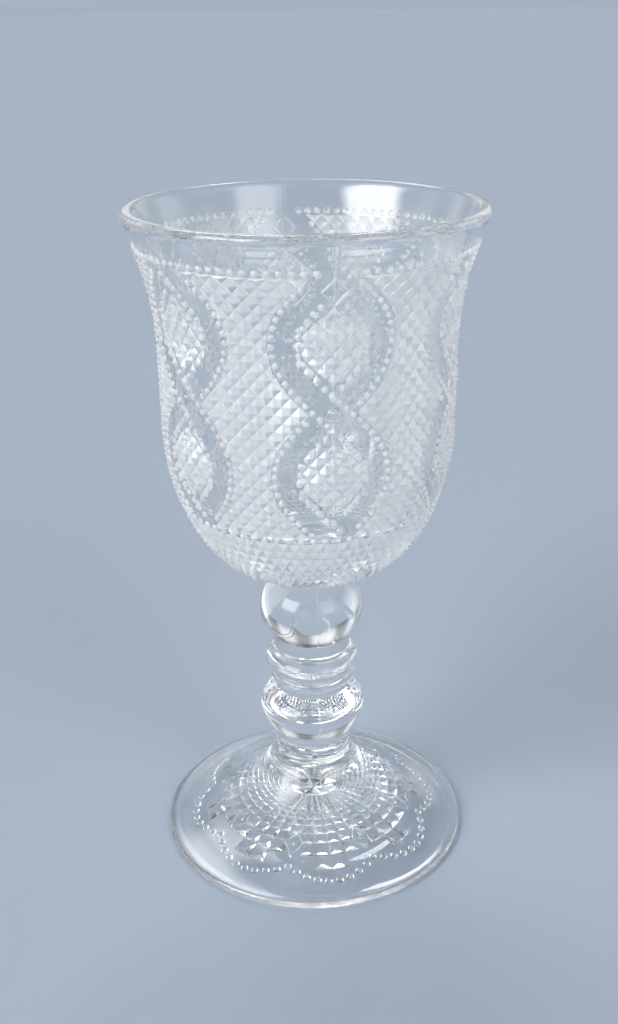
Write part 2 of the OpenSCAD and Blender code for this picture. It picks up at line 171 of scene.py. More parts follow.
glassLook = {
    "tint": (0.985, 0.992, 0.992, 1),
    "reliefTint": (0.99, 0.995, 1.0, 1),
    "ior": 1.52,
    "polish": 0.012,        # roughness where the fire has polished it
    "waveSize": 9.0,        # mm, slow waves that the mould leaves
    "waveDepth": 0.012,
    "grainSize": 0.7,       # mm, chill marks from the iron
    "grainDepth": 0.0004,
    "grainRough": 0.01,
    "restWear": 0.32,       # roughness where it rests on the table
    "wearFull": 0.05, "wearEnd": 0.5,       # mm above the table
    "scuffSize": 0.35,
    "bloom": 0.30,          # white haze on the relief, which the iron chills and the fire doesn't reach
    "footBloom": 0.06,      # the foot's relief faces down and stays clearer
}


def glass(name, look, wave=1.0, grain=1.0, worn=False, bloom=0.0):
    material = bpy.data.materials.new(name)
    material.use_nodes = True
    graph = Graph(material.node_tree)
    shader = material.node_tree.nodes["Principled BSDF"]
    place = Wire(graph, graph.node("ShaderNodeTexCoord", out=None).outputs["Object"])
    slow = graph.node("ShaderNodeTexNoise", inputs={
        "Vector": place, "Scale": 1 / (look["waveSize"] * mm), "Detail": 2.0, "Roughness": 0.4})
    fine = graph.node("ShaderNodeTexNoise", inputs={
        "Vector": place, "Scale": 1 / (look["grainSize"] * mm), "Detail": 3.0, "Roughness": 0.6})
    height = slow * (look["waveDepth"] * wave) + fine * (look["grainDepth"] * grain)
    normal = graph.node("ShaderNodeBump", inputs={"Strength": 1.0, "Distance": mm, "Height": height})
    rough = look["polish"] + look["grainRough"] * fine * grain
    if worn:
        low = graph.split(place)[2]
        touch = graph.node("ShaderNodeMapRange", {"interpolation_type": "SMOOTHSTEP"}, {
            "Value": low, "From Min": look["wearFull"] * mm, "From Max": look["wearEnd"] * mm,
            "To Min": 1.0, "To Max": 0.0})
        scuffs = graph.node("ShaderNodeTexNoise", inputs={
            "Vector": place, "Scale": 1 / (look["scuffSize"] * mm), "Detail": 4.0, "Roughness": 0.8})
        rough = rough + look["restWear"] * touch * scuffs
    graph.tree.links.new(rough.socket, shader.inputs["Roughness"])
    graph.tree.links.new(normal.socket, shader.inputs["Normal"])
    shader.inputs["Base Color"].default_value = look["reliefTint" if bloom else "tint"]
    shader.inputs["IOR"].default_value = look["ior"]
    shader.inputs["Transmission Weight"].default_value = 1.0 - bloom
    return material


def openJoint(name):  # where one section of the pressing runs on into the next, there is no surface
    material = bpy.data.materials.new(name)
    material.use_nodes = True
    shader = material.node_tree.nodes["Principled BSDF"]
    shader.inputs["Base Color"].default_value = (1, 1, 1, 1)
    shader.inputs["Alpha"].default_value = 0.0
    return material


bowlGlass = glass("Pressed glass, bowl", glassLook)
stemGlass = glass("Pressed glass, stem", glassLook, wave=1.4, grain=0.6)
footGlass = glass("Pressed glass, foot", glassLook, wave=1.2, worn=True)
bowlHaze = glass("Pressed glass, relief", glassLook, wave=0.6, grain=4.0, bloom=glassLook["bloom"])
footHaze = glass("Pressed glass, foot relief", glassLook, wave=0.6, grain=3.0, bloom=glassLook["footBloom"])
reliefGlass = {bowlGlass: bowlHaze, stemGlass: bowlHaze, footGlass: footHaze}
jointGlass = openJoint("Glass runs on")
print("materials made")

# --- turning: an outline spun round the axis ---


def buildLathe():
    graph, given = newTree("Spun outline", [
        ("Outline", "NodeSocketObject", None),
        ("Steps around", "NodeSocketInt", 144),
        ("Glass", "NodeSocketMaterial", None)])
    line = graph.node("GeometryNodeObjectInfo", inputs={"Object": given["Outline"]}, out=4)
    size = graph.node("GeometryNodeAttributeDomainSize", {"component": "CURVE"}, {"Geometry": line}, out=None)
    count = Wire(graph, [o for o in size.outputs if o.name == "Point Count" and o.enabled][0])
    steps = given["Steps around"]
    sheet = graph.node("GeometryNodeMeshGrid", inputs={
        "Size X": 1.0, "Size Y": 1.0, "Vertices X": steps + 1, "Vertices Y": count})
    index = graph.node("GeometryNodeInputIndex")
    step = graph.maths("FLOOR", (index + 0.5) / count)
    along = index - step * count
    position = graph.node("GeometryNodeInputPosition")
    place = graph.node("GeometryNodeSampleIndex", {"data_type": "FLOAT_VECTOR", "domain": "POINT"},
                       {"Geometry": line, "Value": position, "Index": along})
    r, _, z = graph.split(place)
    angle = step / steps * tau
    spun = graph.join(r * graph.maths("COSINE", angle), r * graph.maths("SINE", angle), z)
    moved = graph.node("GeometryNodeSetPosition", inputs={"Geometry": sheet, "Position": spun})
    closed = graph.node("GeometryNodeMergeByDistance", inputs={"Geometry": moved, "Distance": 1e-6})
    plain = graph.node("GeometryNodeRealizeInstances", inputs={"Geometry": closed})
    done = graph.node("GeometryNodeSetMaterial", inputs={"Geometry": plain, "Material": given["Glass"]})
    graph.node("NodeGroupOutput", inputs={"Geometry": done}, out=None)
    return graph


lathe = buildLathe()


def faceOut(mesh):  # turns a closed mesh's faces outwards
    work = bmesh.new()
    work.from_mesh(mesh)
    if work.calc_volume(signed=True) < 0:
        bmesh.ops.reverse_faces(work, faces=work.faces)
    work.to_mesh(mesh)
    work.free()


def giveGlass(mesh, glassMaterial, slot=0):
    mesh.materials.clear()
    for material in (glassMaterial, jointGlass, reliefGlass[glassMaterial]):    # in one order, for the joining
        mesh.materials.append(material)
    mesh.polygons.foreach_set("material_index", [slot] * len(mesh.polygons))


def keepNormals(mesh, crease=30):
    # Notes each corner's normal on the mesh, so that it outlasts the joining of pieces
    mesh.shade_smooth()
    mesh.set_sharp_from_angle(angle=math.radians(crease))
    normals = np.zeros(len(mesh.loops) * 3, np.float32)
    mesh.corner_normals.foreach_get("vector", normals)
    note = mesh.attributes.new("softNormal", "FLOAT_VECTOR", "CORNER")
    note.data.foreach_set("vector", normals)


def spin(name, places, glassMaterial, joints, steps=144):
    # joints are (height, radius) of the flat faces where the next section starts
    line = outline(name + "Outline", places)
    host = addObject(name + "Host", bpy.data.meshes.new(name + "Host"))
    mesh = runTree(host, lathe, {"Outline": line, "Steps around": steps, "Glass": glassMaterial})
    bpy.data.objects.remove(line)
    faceOut(mesh)
    giveGlass(mesh, glassMaterial)
    for face in mesh.polygons:
        middle = face.center / mm
        for height, radius in joints:
            if abs(middle.z - height) < 1e-3 and math.hypot(middle.x, middle.y) < radius:
                face.material_index = 1
    keepNormals(mesh)
    return mesh


# --- pressing: relief laid out flat, then wrapped on a surface ---


def buildPress():
    graph, given = newTree("Pressed relief", [
        ("Shape", "NodeSocketObject", None),
        ("Surface", "NodeSocketObject", None),
        ("Flat radius", "NodeSocketFloat", 0.0357),
        ("Middle angle", "NodeSocketFloat", 0.0),
        ("Weld", "NodeSocketFloat", 0.0),
        ("Glass", "NodeSocketMaterial", None)])
    shape = graph.node("GeometryNodeObjectInfo", inputs={"Object": given["Shape"]}, out=4)
    line = graph.node("GeometryNodeObjectInfo", inputs={"Object": given["Surface"]}, out=4)
    size = graph.node("GeometryNodeInputNamedAttribute", {"data_type": "FLOAT_VECTOR"}, {"Name": "size"})
    turn = graph.node("GeometryNodeInputNamedAttribute", {"data_type": "FLOAT"}, {"Name": "turn"})
    turned = graph.node("FunctionNodeEulerToRotation", inputs={0: graph.join(0.0, 0.0, turn)})
    placed = graph.node("GeometryNodeInstanceOnPoints", inputs={
        "Points": given["Geometry"], "Instance": shape, "Rotation": turned, "Scale": size})
    plain = graph.node("GeometryNodeRealizeInstances", inputs={"Geometry": placed})
    x, s, lift = graph.split(graph.node("GeometryNodeInputPosition"))
    sampled = graph.node("GeometryNodeSampleCurve", {"mode": "LENGTH"}, {"Curves": line, "Length": s}, out=None)
    foot = [Wire(graph, o) for o in sampled.outputs if o.name == "Position" and o.enabled][0]
    along = [Wire(graph, o) for o in sampled.outputs if o.name == "Tangent" and o.enabled][0]
    footR, _, footZ = graph.split(foot)
    alongR, _, alongZ = graph.split(along)
    r = footR - alongZ * lift
    angle = given["Middle angle"] + x / given["Flat radius"]
    wrapped = graph.join(r * graph.maths("COSINE", angle), r * graph.maths("SINE", angle), footZ + alongR * lift)
    moved = graph.node("GeometryNodeSetPosition", inputs={"Geometry": plain, "Position": wrapped})
    welded = graph.node("GeometryNodeMergeByDistance", inputs={"Geometry": moved, "Distance": given["Weld"]})
    done = graph.node("GeometryNodeSetMaterial", inputs={"Geometry": welded, "Material": given["Glass"]})
    graph.node("NodeGroupOutput", inputs={"Geometry": done}, out=None)
    return graph


press = buildPress()

# How the relief's edges read: up to what angle in degrees they are smooth, and how soft the tips are
facets = {"crease": 5, "tips": 0.3}
sharpTiles = facets | {"tiled": True}
roundedBars = {"crease": 60}
plainCut = {"crease": 30}


def pressed(name, groups, surface, flatRadius, glassMaterial, crease=180, tips=0.0, tiled=False, hazy=True):
    # groups are (shape, places), and places are (x, s, width, length, height, turn) in mm,
    # x across and s along the surface's outline
    made = [pressedOne(name, shape, places, surface, flatRadius, glassMaterial, hazy) for shape, places in groups]
    mesh = weld(made) if tiled else made[0]
    faceOut(mesh)
    keepNormals(mesh, crease)
    if tips:
        blunt(mesh, tips)
    return mesh


def weld(meshes):  # tiles side by side become one shell, without the walls between them
    work = bmesh.new()
    for mesh in meshes:
        work.from_mesh(mesh)
    bmesh.ops.remove_doubles(work, verts=work.verts, dist=1e-6)
    level = work.verts.layers.float["level"]
    between = [face for face in work.faces if len({vert[level] for vert in face.verts}) > 1
               and all(len(edge.link_faces) > 2 for edge in face.edges)]
    bmesh.ops.delete(work, geom=between, context="FACES")
    work.to_mesh(meshes[0])
    work.free()
    return meshes[0]


def pressedOne(name, shape, places, surface, flatRadius, glassMaterial, hazy):
    mesh = bpy.data.meshes.new(name + "Places")
    mesh.from_pydata([(p[0] * mm, p[1] * mm, 0) for p in places], [], [])
    size = mesh.attributes.new("size", "FLOAT_VECTOR", "POINT")
    size.data.foreach_set("vector", [v * mm for p in places for v in p[2:5]])
    turn = mesh.attributes.new("turn", "FLOAT", "POINT")
    turn.data.foreach_set("value", [p[5] for p in places])
    made = runTree(addObject(name + "Host", mesh), press, {
        "Shape": shape, "Surface": surface, "Flat radius": flatRadius * mm,
        "Middle angle": frontAngle, "Weld": 1e-6, "Glass": glassMaterial})
    giveGlass(made, glassMaterial, 2 * hazy)
    return made


def blunt(mesh, share):  # leans the normals at the tips together, as fire polish rounds them
    count = len(mesh.loops)
    corner = np.zeros(count, np.int32)
    mesh.loops.foreach_get("vertex_index", corner)
    soft = np.zeros(len(mesh.vertices) * 3, np.float32)
    mesh.vertex_normals.foreach_get("vector", soft)
    soft = soft.reshape(-1, 3)[corner]
    note = mesh.attributes["softNormal"]
    flat = np.zeros(count * 3, np.float32)
    note.data.foreach_get("vector", flat)
    flat = flat.reshape(-1, 3)
    high = np.zeros(len(mesh.vertices), np.float32)
    mesh.attributes["level"].data.foreach_get("value", high)
    mix = np.maximum(high[corner][:, None], 0) * share
    blend = flat * (1 - mix) + soft * mix
    blend /= np.linalg.norm(blend, axis=1)[:, None]
    note.data.foreach_set("vector", blend.ravel())


def fuse(mesh, others, how="UNION"):  # joins closed meshes into one skin
    for other in others:
        base = addObject("base", mesh)
        tool = addObject("tool", other)
        modifier = base.modifiers.new("Join", "BOOLEAN")
        modifier.operation = how
        modifier.solver = "MANIFOLD"
        modifier.object = tool
        mesh = evaluated(base)
        bpy.data.objects.remove(base)
        bpy.data.objects.remove(tool)
    return mesh


def dropPillows(mesh):  # two faces back to back on the same corners hold no glass
    work = bmesh.new()
    work.from_mesh(mesh)
    onCorners = {}
    for face in work.faces:
        onCorners.setdefault(frozenset(face.verts), []).append(face)
    pillows = [face for faces in onCorners.values() if len(faces) > 1 for face in faces]
    bmesh.ops.delete(work, geom=pillows, context="FACES")
    work.to_mesh(mesh)
    work.free()


def finishPiece(name, mesh, nodes):
    dropPillows(mesh)
    count = len(mesh.loops)
    normals = np.zeros(count * 3, np.float32)
    mesh.attributes["softNormal"].data.foreach_get("vector", normals)
    normals = normals.reshape(-1, 3)
    faces = np.zeros(len(mesh.polygons) * 3, np.float32)
    mesh.polygons.foreach_get("normal", faces)
    sides = np.zeros(len(mesh.polygons), np.int32)
    mesh.polygons.foreach_get("loop_total", sides)
    faces = np.repeat(faces.reshape(-1, 3), sides, axis=0)
    facing = (normals * faces).sum(axis=1)
    normals[facing < 0] *= -1
    length = np.linalg.norm(normals, axis=1)
    least = 0.2
    lost = (length < least) | (np.abs(facing) < least * length)
    normals[lost] = faces[lost]
    normals /= np.linalg.norm(normals, axis=1)[:, None]
    for extra in ("softNormal", "level", "size", "turn"):
        if extra in mesh.attributes:
            mesh.attributes.remove(mesh.attributes[extra])
    mesh.shade_smooth()
    mesh.normals_split_custom_set(normals.tolist())
    mesh.name = name
    piece = addObject(name, mesh)
    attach(piece, "root")
    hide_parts(*nodes)
    work = bmesh.new()
    work.from_mesh(mesh)
    loose = sum(1 for edge in work.edges if not edge.is_manifold)
    triangles = sum(len(face.verts) - 2 for face in work.faces)
    print(name, "made:", triangles, "triangles,", loose, "open edges,", int(lost.sum()), "normals mended")
    work.free()


# --- unit shapes of the relief: 1 across the half width, 1 high, and some glass below to sink ---


def shapeMesh(name, verts, faces, tips=()):
    mesh = bpy.data.meshes.new(name)
    mesh.from_pydata(verts, [], faces)
    note = mesh.attributes.new("level", "FLOAT", "POINT")     # 1 at a tip, 0 at the skin and -1 inside the wall
    note.data.foreach_set("value", [1.0 if i in tips else -1.0 if vert[2] < 0 else 0.0
                                    for i, vert in enumerate(verts)])
    return addObject(name, mesh)


def pyramidShape(name, corners, sink=0.4, cut=0.93):
    # A point that stands alone, with a blunt tip: corners are its plan at the skin
    base = [(x * 0.9, y * 0.9, -sink) for x, y in corners]
    edge = [(x, y, 0) for x, y in corners]
    top = [(x * (1 - cut), y * (1 - cut), cut) for x, y in corners]
    n = len(corners)
    faces = [(k + i, k + (i + 1) % n, k + n + (i + 1) % n, k + n + i) for k in (0, n) for i in range(n)]
    return shapeMesh(name, base + edge + top, faces + [tuple(range(2 * n, 3 * n)), tuple(range(n - 1, -1, -1))],
                     tips=range(2 * n, 3 * n))


def tileShape(name, plan, half=False, groove=0.04, sink=0.4, cut=0.93):
    # One cell of a field of points, whose walls meet the next cells' walls. A half cell ends at its tip:
    # the plan's last place is then the middle of that side
    n = len(plan)
    small = 1 - cut
    low = [(x, y, -sink) for x, y in plan]
    high = [(x, y, groove) for x, y in plan]
    tip = [(x * small, y * small, cut) for x, y in plan]
    if half:
        low, high, tip = low[:-1], high[:-1], tip[:-1]
        n -= 1
    sides = [(i, (i + 1) % n) for i in range(n - half)]
    faces = [(n + i, n + k, 2 * n + k, 2 * n + i) for i, k in sides] + [(i, k, n + k, n + i) for i, k in sides]
    faces += [tuple(range(2 * n, 3 * n)), tuple(range(n - 1, -1, -1))]
    if half:
        faces.append((0, n, 2 * n, 3 * n - 1, 2 * n - 1, n - 1))
    return shapeMesh(name, low + high + tip, faces, tips=range(2 * n, 3 * n))


def beadShape(name, around=10, rings=(0, 42), sink=0.4):
    levels = [(1.0, -sink)] + [(math.cos(math.radians(a)), math.sin(math.radians(a))) for a in rings]
    verts = [(r * math.cos(tau * i / around), r * math.sin(tau * i / around), z)
             for r, z in levels for i in range(around)]
    faces = [(k * around + i, k * around + (i + 1) % around, (k + 1) * around + (i + 1) % around,
              (k + 1) * around + i) for k in range(len(levels) - 1) for i in range(around)]
    top = len(verts)
    last = (len(levels) - 1) * around
    faces += [(last + i, last + (i + 1) % around, top) for i in range(around)]
    faces.append(tuple(range(around - 1, -1, -1)))
    return shapeMesh(name, verts + [(0, 0, 1)], faces)


def barShape(name, steps=8, arch=((1, -0.5), (0.86, 0.4), (0.42, 0.9), (-0.42, 0.9), (-0.86, 0.4), (-1, -0.5))):
    # A half-round bar along y, from -1 to 1
    n = len(arch)
    verts = [(x, -1 + 2 * k / steps, z) for k in range(steps + 1) for x, z in arch]
    faces = [(k * n + i, (k + 1) * n + i, (k + 1) * n + (i + 1) % n, k * n + (i + 1) % n)
             for k in range(steps) for i in range(n)]
    faces += [tuple(range(n)), tuple(range(steps * n + n - 1, steps * n - 1, -1))]
    return shapeMesh(name, verts, faces)


smallDiamond = pyramidShape("smallDiamond", [(-1, 0), (0, -1), (1, 0), (0, 1)])
diamondTile = tileShape("diamondTile", [(-1, 0), (0, -1), (1, 0), (0, 1)])
halfTile = tileShape("halfTile", [(1, 0), (0, 1), (-1, 0), (0, 0)], half=True)
brickTile = tileShape("brickTile", [(-1, -1), (0, -1), (1, -1), (1, 1), (0, 1), (-1, 1)])
squareTile = tileShape("squareTile", [(-1, -1), (1, -1), (1, 1), (-1, 1)])
bead = beadShape("bead")
button = beadShape("button", around=24, rings=(0, 22, 44, 66))
bar = barShape("bar")
seamBar = barShape("seamBar", steps=64)
print("relief shapes made")


def seams(name, run, glassMaterial, height, ends=0.02):
    # The fine ridges where the two halves of the mould meet, along an outline that runs down the outside.
    # The one at the back closed more tightly
    v = reliefSizes
    flatRadius = 10.0
    places = [tuple(p) for p in run]
    length = sum(math.dist(a, b) for a, b in zip(places, places[1:]))
    line = outline(name + "Line", places)
    places = [(k * math.pi * flatRadius, length / 2, v["seamWidth"] / 2, length / 2 - ends, high, 0.0)
              for k, high in ((0, height), (1, height * v["backSeam"]))]
    made = pressed(name, [(seamBar, places)], line, flatRadius, glassMaterial, **roundedBars, hazy=False)
    bpy.data.objects.remove(line)
    return made


# --- bowl ---

frontAngle = math.radians(-90 + 8.7)     # the mould closes here

bowlSizes = {  # mm
    "height": 171.7, "rim": 43.0, "waist": 35.7, "wall": 3.2,
    "flareStart": 138.0, "belly": 120.0, "base": 80.0,
    "collar": 11.9, "bottom": 77.6, "well": 5.0,
    "flareCurve": 2.2, "wellCurve": 2.3,
    "steps": 24, "lipSteps": 12, "uprightSteps": 6,     # of the outline
}
stemSizes = {  # mm
    "neck": 9.8, "step": 0.4, "upperKnop": 13.7, "upperKnopAt": 67.0, "upperKnopHalf": 11.7,
    "ringTop": 55.7, "ring": 12.45, "ringAt": 51.1, "ringHalf": 3.3,
    "collar": 10.9, "collarHeight": 2.0, "ringBottom": 45.2,
    "lowerKnop": 14.15, "lowerKnopAt": 37.75, "lowerKnopRise": 7.7, "footJoint": 27.2, "lip": 10.3,
    "seamHeight": 0.08, "taperSteps": 24,
}


def bowlOutline(v):
    steps = v["steps"]
    lipZ = v["height"] - v["wall"] / 2
    flare = v["rim"] - v["waist"]

    def middle(t):
        return np.array([v["waist"] - v["wall"] / 2 + flare * t ** v["flareCurve"],
                         v["flareStart"] + (lipZ - v["flareStart"]) * t])

    def side(t):
        slope = np.array([flare * v["flareCurve"] * t ** (v["flareCurve"] - 1), lipZ - v["flareStart"]])
        return np.array([slope[1], -slope[0]]) / np.linalg.norm(slope)

    half = v["wall"] / 2
    outer = [middle(i / steps) + side(i / steps) * half for i in range(steps, -1, -1)]
    inner = [middle(i / steps) - side(i / steps) * half for i in range(steps + 1)]
    upright = [np.array([v["waist"], v["flareStart"] + (v["belly"] - v["flareStart"]) * i / v["uprightSteps"]])
               for i in range(1, v["uprightSteps"])]
    base = [np.array([v["collar"] + (v["waist"] - v["collar"]) * math.cos(a),
                      v["belly"] - (v["belly"] - v["base"]) * math.sin(a)])
            for a in [math.pi / 2 * i / steps for i in range(steps + 1)]]
    wellZ = v["base"] + v["well"]
    power = 2 / v["wellCurve"]
    well = [np.array([(v["waist"] - v["wall"]) * math.cos(a) ** power,
                      v["belly"] - (v["belly"] - wellZ) * math.sin(a) ** power])
            for a in [math.pi / 2 * i / steps for i in range(steps, -1, -1)]]
    lean = math.atan2(-side(1)[1], side(1)[0])
    arc = [middle(1) + half * np.array([math.cos(a), math.sin(a)])
           for a in [math.pi - lean - math.pi * i / v["lipSteps"] for i in range(1, v["lipSteps"])]]
    skin = outer + upright + base
    return well, inner, arc, skin


well, innerFlare, lipArc, skin = bowlOutline(bowlSizes)
v = bowlSizes
centre = stemSizes["neck"]
onAxis = 0.2     # mm from the axis: a place this near it is on it
bowlLine = ([(0, v["bottom"]), (0, well[0][1])] + [tuple(p) for p in well if p[0] > onAxis]
            + [tuple(p) for p in innerFlare] + [tuple(p) for p in lipArc] + [tuple(p) for p in skin]
            + [(v["collar"], v["bottom"] + stemSizes["step"]), (v["collar"] - stemSizes["step"], v["bottom"]),
               (centre, v["bottom"]), (0, v["bottom"])])
bowlMesh = spin("bowl", bowlLine[1:], bowlGlass, [(v["bottom"], centre)])
print("bowl turned:", len(bowlMesh.polygons), "faces")

skin = np.array(skin)
skinS = np.concatenate([[0], np.cumsum(np.linalg.norm(np.diff(skin, axis=0), axis=1))])
skinLine = outline("bowlSkin", skin)


def skinRadius(s):
    return float(np.interp(s, skinS, skin[:, 0]))


def skinLength(z):
    return float(np.interp(-z, -skin[:, 1], skinS))


reliefSizes = {  # mm
    "rimBand": 6.6, "rimBeads": 96, "rimBead": 0.95,
    "bead": 0.85, "beadHeight": 0.75, "beadPitch": 2.2,
    "columns": 6, "ribbon": 4.0, "swing": 10.5, "eyes": 2,
    "points": 60, "pointHeight": 1.0, "gap": 0.12,
    "baseBand": 100.0, "basePoints": 72, "basePointHeight": 0.75, "baseEnd": 0.17,
    "cells": 3, "barWidth": 0.6, "barHeight": 0.55, "eyeFill": 0.86, "cellPoint": 0.26, "cellPointHeight": 0.4,
    "endPoint": 0.6,        # the point above and below each lattice, as a share of a cell
    "button": 1.7, "buttonHeight": 1.0,
    "seamWidth": 0.42, "seamHeight": 0.16, "backSeam": 0.3, "seamEnd": 113.0,
    "seamLozengeWidth": 5.2, "seamLozengeHeight": 6.2,
}


def bowlRelief(v):
    flat = bowlSizes["waist"]
    rowS = v["rimBand"]
    start = rowS + v["rimBead"] + v["gap"]
    stop = skinLength(v["baseBand"]) - v["bead"] - v["gap"]
    eye = (stop - start) / v["eyes"]
    column = tau * flat / v["columns"]
    rowOff = v["ribbon"] / 2 + v["bead"]

    def swing(side, s):
        return side * v["swing"] * math.sin(math.pi * (s - start) / eye)

    def heading(side, s):
        return math.atan(side * v["swing"] * math.pi / eye * math.cos(math.pi * (s - start) / eye))

    def stretch(side, s, off):
        bend = v["swing"] * (math.pi / eye) ** 2 * math.sin(math.pi * (s - start) / eye)
        return 1 + off * side * bend * math.cos(heading(side, s)) ** 3

    def isOver(side, s):
        return (side > 0) == (round((s - start) / eye) % 2 == 0)

    def half(s):
        return abs(swing(1, s)) + (rowOff + v["bead"]) / math.cos(heading(1, s))

    def roundBead(x, s, radius, height):  # a bead that stays round where the wall is wider or narrower
        return (x, s, radius * flat / skinRadius(s), radius, height, 0.0)

    def strand(side, off):
        made, s = [], start
        while s < stop:
            a = heading(side, s)
            x, at = swing(side, s) + off * math.cos(a), s - off * math.sin(a)
            clear = abs(x - swing(-side, at)) * math.cos(heading(-side, at)) > rowOff + v["beadPitch"]
            if start + v["bead"] < at < stop - v["bead"] and (isOver(side, at) or clear):
                made.append((x, at))
            s += v["beadPitch"] * math.cos(a) / stretch(side, s, off)
        return made

    strands = [b for side in (-1, 1) for off in (rowOff, -rowOff) for b in strand(side, off)]
    seamColumns = (0, v["columns"] // 2)     # the mould closes in these two, with an open lozenge at the top
    lozengeS = start + v["seamLozengeHeight"] / 2

    def inLozenge(c, x, s):
        w, h = v["seamLozengeWidth"] / 2, v["seamLozengeHeight"] / 2
        off = (abs(x) * h + abs(s - lozengeS) * w - w * h) / math.hypot(w, h)
        return c in seamColumns and off < v["bead"] + v["barWidth"] / 2 + v["gap"]

    ribbonBeads = [roundBead(c * column + x, s, v["bead"], v["beadHeight"])
                   for c in range(v["columns"]) for x, s in strands if not inLozenge(c, x, s)]
    seamGaps = [(k * v["rimBeads"] // 2 + i) % v["rimBeads"] for k in (0, 1) for i in (-1, 0)]
    rim = [roundBead((i + 0.5) * tau * flat / v["rimBeads"], rowS, v["rimBead"], v["beadHeight"])
           for i in range(v["rimBeads"]) if i not in seamGaps]
    baseS = skinLength(v["baseBand"])
    baseRow = [roundBead((i + 0.5) * tau * flat / v["basePoints"], baseS, v["bead"], v["beadHeight"])
               for i in range(v["basePoints"])]
    buttons = [roundBead(c * column, start + k * eye, v["button"], v["buttonHeight"])
               for c in range(v["columns"]) for k in range(1, v["eyes"])]
    # Ground: a field of diamonds right round, with half ones at both ends
    halfW = math.pi * flat / v["points"]
    rows = 2 * math.floor((stop - start) / (2 * halfW))
    halfH = (stop - start) / rows
    ground, groundEnds = [], []
    for j in range(rows + 1):
        for i in range(v["points"]):
            place = ((i + (j % 2) / 2) * 2 * halfW, start + j * halfH, halfW, halfH, v["pointHeight"])
            if 0 < j < rows:
                ground.append(place + (0.0,))
            else:
                groundEnds.append(place + (0.0 if j == 0 else math.pi,))
    # Column outline, to cut the diamonds that run into it
    cells = 96
    beyond, low, high = 2, -1.5, 2.5
    edge = [(start - beyond + (stop - start + 2 * beyond) * k / cells) for k in range(cells + 1)]
    verts = [(side * half(min(max(s, start), stop)) * mm, s * mm, lift * mm)
             for s in edge for side, lift in ((-1, low), (1, low), (1, high), (-1, high))]
    faces = [(4 * k + i, 4 * k + 4 + i, 4 * k + 4 + (i + 1) % 4, 4 * k + (i + 1) % 4)
             for k in range(cells) for i in range(4)]
    faces += [(0, 1, 2, 3), (4 * cells + 3, 4 * cells + 2, 4 * cells + 1, 4 * cells)]
    cutter = (verts, faces, [(c * column, 0, 1 / mm, 1 / mm, 1 / mm, 0.0) for c in range(v["columns"])])
    # Lattice blocks
    n = v["cells"]
    cellW = (v["swing"] - rowOff - v["bead"]) * v["eyeFill"] / n
    cellH = cellW * eye / (2 * v["swing"])
    lean = math.atan2(cellW, cellH)
    length = n * math.hypot(cellW, cellH) / 2 + v["barWidth"] / 2
    bars = [[], []]
    stars = []
    for c in range(v["columns"]):
        for k in range(v["eyes"]):
            x0, s0 = c * column, start + (k + 0.5) * eye
            for i in range(n + 1):
                shift = i - n / 2
                for which, side in ((0, 1), (1, -1)):
                    bars[which].append((x0 + side * shift * cellW, s0 + shift * cellH,
                                        v["barWidth"] / 2, length, v["barHeight"], side * lean))
            for i in range(n):
                for j in range(n):
                    stars.append((x0 + (i - j) * cellW, s0 + (i + j + 1 - n) * cellH,
                                  cellW * v["cellPoint"], cellH * v["cellPoint"], v["cellPointHeight"], 0.0))
            for up in (-1, 1):
                if not inLozenge(c, 0, s0 + up * (n + 1) * cellH):
                    stars.append((x0, s0 + up * (n + 1) * cellH, cellW * v["endPoint"], cellH * v["endPoint"],
                                  v["pointHeight"], 0.0))
    for c in seamColumns:
        w, h = v["seamLozengeWidth"] / 2, v["seamLozengeHeight"] / 2
        for sx in (-1, 1):
            for sy in (-1, 1):
                bars[(sx * sy + 1) // 2].append((c * column + sx * w / 2, lozengeS + sy * h / 2, v["barWidth"] / 2,
                                                 math.hypot(w, h) / 2 + v["barWidth"] / 4, v["barHeight"],
                                                 sx * sy * math.atan2(w, h)))
    # Base: a field of fine square points in staggered rows
    basePoints = []
    stopR = bowlSizes["collar"] + (bowlSizes["waist"] - bowlSizes["collar"]) * v["baseEnd"]
    fullHalf = math.pi * skinRadius(baseS) / v["basePoints"]
    s = baseS + v["bead"] + v["gap"]
    j = 0
    while skinRadius(s + fullHalf) > stopR:
        halfS = math.pi * skinRadius(s + fullHalf) / v["basePoints"]
        for i in range(v["basePoints"]):
            x = (i + (j % 2) / 2) * tau * flat / v["basePoints"]
            basePoints.append((x, s + halfS, math.pi * flat / v["basePoints"], halfS, v["basePointHeight"], 0.0))
        s += 2 * halfS
        j += 1
    return dict(ribbonBeads=ribbonBeads, rim=rim, baseRow=baseRow, buttons=buttons, ground=ground,
                groundEnds=groundEnds, cutter=cutter, bars=bars, stars=stars, basePoints=basePoints)


laid = bowlRelief(reliefSizes)
flat = bowlSizes["waist"]


def onBowl(name, groups, crease=180, tips=0.0, tiled=False, hazy=True):
    return pressed(name, groups, skinLine, flat, bowlGlass, crease, tips, tiled, hazy)


